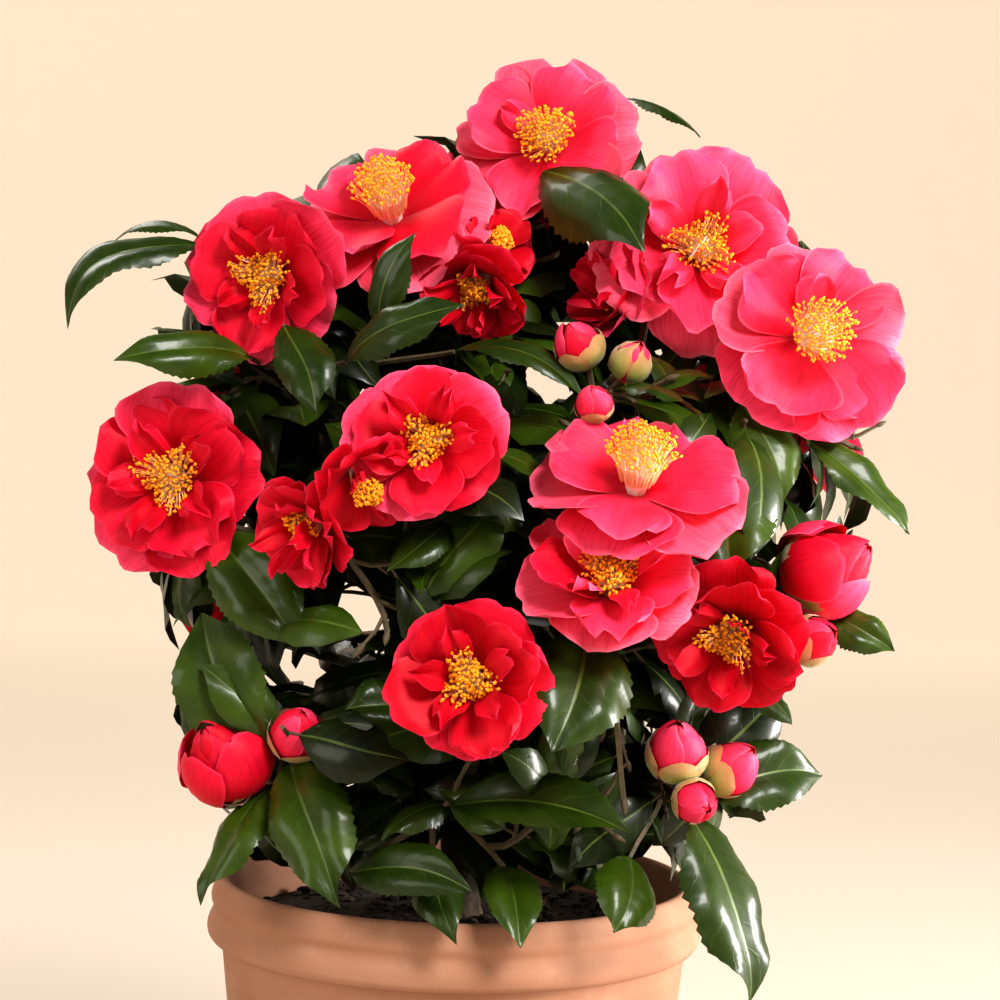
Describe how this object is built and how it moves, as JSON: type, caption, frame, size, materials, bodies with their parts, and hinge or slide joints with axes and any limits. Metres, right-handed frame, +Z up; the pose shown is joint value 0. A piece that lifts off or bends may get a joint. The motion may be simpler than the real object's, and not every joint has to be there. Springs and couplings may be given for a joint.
{
  "type": "camellia shrub in a pot",
  "caption": "Evergreen flowering shrub with red blossoms, buds and glossy leaves on branching boughs, growing in soil in a round tapered terracotta pot.",
  "frame": {"origin": "middle of the pot's flat underside", "axes": "+Z up, -Y towards the front of the plant as it is seen in the picture, +X to the right of that view"},
  "size_m": [0.4358, 0.3844, 0.6928],
  "materials": {
    "terracotta": "matte",
    "soil": "matte",
    "bark": "matte",
    "leaf": "satin",
    "petal": "satin"
  },
  "bodies": {
    "root": {"pot": "terracotta", "soil": "soil", "trunk": "bark", "bough_top": "bark", "bough_left": "bark", "bough_right": "bark", "bough_back": "bark", "bough_front": "bark", "bough_low_front": "bark", "bough_low_left": "bark", "bough_low_right": "bark", "bough_upper_left": "bark", "bough_upper_middle": "bark", "bough_upper_right": "bark", "bough_left_side": "bark", "bough_front_right": "bark", "bough_lower_right": "bark", "bough_right_side": "bark", "bough_back_top": "bark", "bough_back_left": "bark", "bough_back_right": "bark", "bough_back_low_left": "bark", "bough_back_low_right": "bark", "foliage_top": "leaf", "foliage_upper_left": "leaf", "foliage_left_shoulder": "leaf", "foliage_upper_middle": "leaf", "foliage_upper_right": "leaf", "foliage_right": "leaf", "foliage_left_side": "leaf", "foliage_front": "leaf", "foliage_front_right": "leaf", "foliage_lower_right": "leaf", "foliage_right_side": "leaf", "foliage_low_front": "leaf", "foliage_low_left": "leaf", "foliage_low_right": "leaf", "foliage_back": "leaf", "foliage_back_top": "leaf", "foliage_back_left": "leaf", "foliage_back_right": "leaf", "foliage_back_low_left": "leaf", "foliage_back_low_right": "leaf"}
  },
  "joints": []
}
